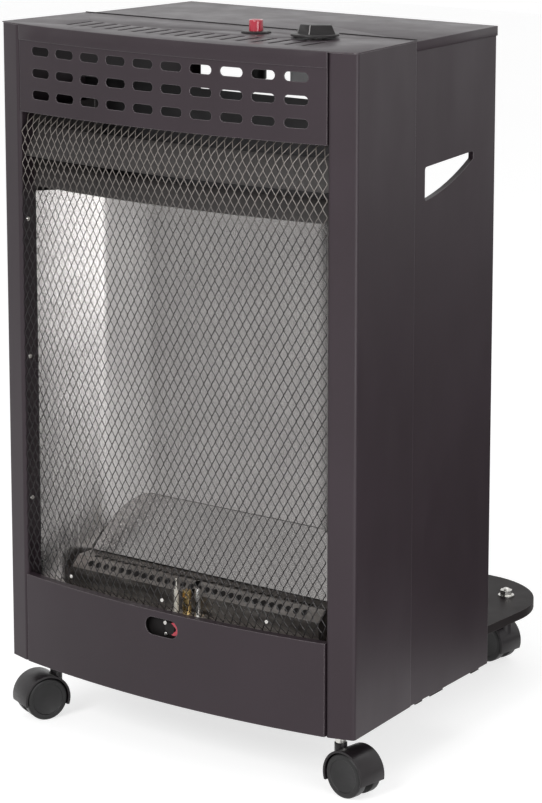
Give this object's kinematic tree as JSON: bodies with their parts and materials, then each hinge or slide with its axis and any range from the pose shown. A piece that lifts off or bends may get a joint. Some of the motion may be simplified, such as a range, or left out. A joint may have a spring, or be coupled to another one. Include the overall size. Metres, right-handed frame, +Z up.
{
  "type": "portable gas cabinet heater",
  "caption": "Upright cabinet gas heater on twin-wheel castors, with a bowed mesh-guarded reflector front, top controls and an open rear compartment for a gas bottle.",
  "frame": {"origin": "on the floor, under the middle of the heater's overall plan", "axes": "+Z up; the mesh-guarded front faces -Y; the user's view of the front has +X on its right, the knob's side; the bottle goes in from +Y"},
  "size_m": [0.4589, 0.5465, 0.7648],
  "materials": {
    "cabinet_enamel": "satin dark grey stoving enamel",
    "base_enamel": "satin black enamel",
    "inner_enamel": "heat-resistant dark enamel",
    "guard_enamel": "dark enamelled expanded metal",
    "bright_steel": "bright rolled sheet",
    "zinc_sheet": "dull zinc-plated sheet",
    "zinc_steel": "zinc plated",
    "burner_steel": "aluminised sheet, heat dulled",
    "brass": "turned brass",
    "ceramic": null,
    "pipe_metal": "drawn aluminium pipe",
    "valve_aluminium": "die-cast",
    "knob_plastic": "fine satin black",
    "red_plastic": "bright red",
    "castor_plastic": "black nylon, soft sheen",
    "wheel_plastic": "black nylon"
  },
  "bodies": {
    "cabinet": {"base_plate": "base_enamel", "burner": "burner_steel", "castor_bolts": "zinc_steel", "control_valve": "valve_aluminium", "front_cover": "cabinet_enamel", "gas_pipe": "pipe_metal", "grille_panel": "cabinet_enamel", "guard_screws": "zinc_steel", "hearth": "inner_enamel", "hose_inlet": "brass", "igniter_body": "knob_plastic", "igniter_nut": "zinc_steel", "injector": "brass", "injector_bracket": "zinc_steel", "left_cheek": "inner_enamel", "left_post": "cabinet_enamel", "left_side": "cabinet_enamel", "lower_hood": "inner_enamel", "lower_panel": "cabinet_enamel", "mesh_guard": "guard_enamel", "mixing_tube": "burner_steel", "partition": "zinc_sheet", "pilot_bracket": "zinc_steel", "pilot_burner": "brass", "pilot_pipe": "pipe_metal", "rear_top": "cabinet_enamel", "reflector": "bright_steel", "right_cheek": "inner_enamel", "right_post": "cabinet_enamel", "right_side": "cabinet_enamel", "sight_box": "inner_enamel", "sight_plug": "red_plastic", "spark_electrode": "ceramic", "thermocouple": "zinc_steel", "upper_hood": "inner_enamel", "valve_plate": "zinc_sheet"},
    "control_spindle": {"spindle": "zinc_steel"},
    "control_knob": {"knob": "knob_plastic"},
    "igniter_button": {"button": "red_plastic"},
    "front_left_castor": {"front_left_hood": "castor_plastic"},
    "front_left_wheels": {"front_left_axle": "zinc_steel", "front_left_outer_wheel": "wheel_plastic", "front_left_inner_wheel": "wheel_plastic"},
    "front_right_castor": {"front_right_hood": "castor_plastic"},
    "front_right_wheels": {"front_right_axle": "zinc_steel", "front_right_outer_wheel": "wheel_plastic", "front_right_inner_wheel": "wheel_plastic"},
    "rear_left_castor": {"rear_left_hood": "castor_plastic"},
    "rear_left_wheels": {"rear_left_axle": "zinc_steel", "rear_left_outer_wheel": "wheel_plastic", "rear_left_inner_wheel": "wheel_plastic"},
    "rear_right_castor": {"rear_right_hood": "castor_plastic"},
    "rear_right_wheels": {"rear_right_axle": "zinc_steel", "rear_right_outer_wheel": "wheel_plastic", "rear_right_inner_wheel": "wheel_plastic"}
  },
  "joints": [
    {"name": "knob_push", "type": "slide", "parent": "cabinet", "child": "control_spindle", "axis": [0, 0, 1], "range_m": [-0.002, 0], "stiffness_N_per_m": 1500, "springref_m": 0.002},
    {"name": "knob_turn", "type": "hinge", "parent": "control_spindle", "child": "control_knob", "pos_m": [0.121, -0.17425, 0.7498], "axis": [0, 0, 1], "range_deg": [0, 210]},
    {"name": "igniter_press", "type": "slide", "parent": "cabinet", "child": "igniter_button", "axis": [0, 0, 1], "range_m": [-0.006, 0], "stiffness_N_per_m": 500, "springref_m": 0.003},
    {"name": "front_left_swivel", "type": "hinge", "parent": "cabinet", "child": "front_left_castor", "pos_m": [-0.1886, -0.21925, 0.0504], "axis": [0, 0, 1], "continuous": true},
    {"name": "front_left_roll", "type": "hinge", "parent": "front_left_castor", "child": "front_left_wheels", "pos_m": [-0.19568, -0.23515, 0.023], "axis": [0.9135, -0.4067, 0], "continuous": true},
    {"name": "front_right_swivel", "type": "hinge", "parent": "cabinet", "child": "front_right_castor", "pos_m": [0.1886, -0.21925, 0.0504], "axis": [0, 0, 1], "continuous": true},
    {"name": "front_right_roll", "type": "hinge", "parent": "front_right_castor", "child": "front_right_wheels", "pos_m": [0.20587, -0.22137, 0.023], "axis": [0.1219, 0.9925, 0], "continuous": true},
    {"name": "rear_left_swivel", "type": "hinge", "parent": "cabinet", "child": "rear_left_castor", "pos_m": [-0.103, 0.21725, 0.0504], "axis": [0, 0, 1], "continuous": true},
    {"name": "rear_left_roll", "type": "hinge", "parent": "rear_left_castor", "child": "rear_left_wheels", "pos_m": [-0.11836, 0.22542, 0.023], "axis": [-0.4695, -0.8829, 0], "continuous": true},
    {"name": "rear_right_swivel", "type": "hinge", "parent": "cabinet", "child": "rear_right_castor", "pos_m": [0.103, 0.21725, 0.0504], "axis": [0, 0, 1], "continuous": true},
    {"name": "rear_right_roll", "type": "hinge", "parent": "rear_right_castor", "child": "rear_right_wheels", "pos_m": [0.08569, 0.21907, 0.023], "axis": [-0.1045, -0.9945, 0], "continuous": true}
  ]
}
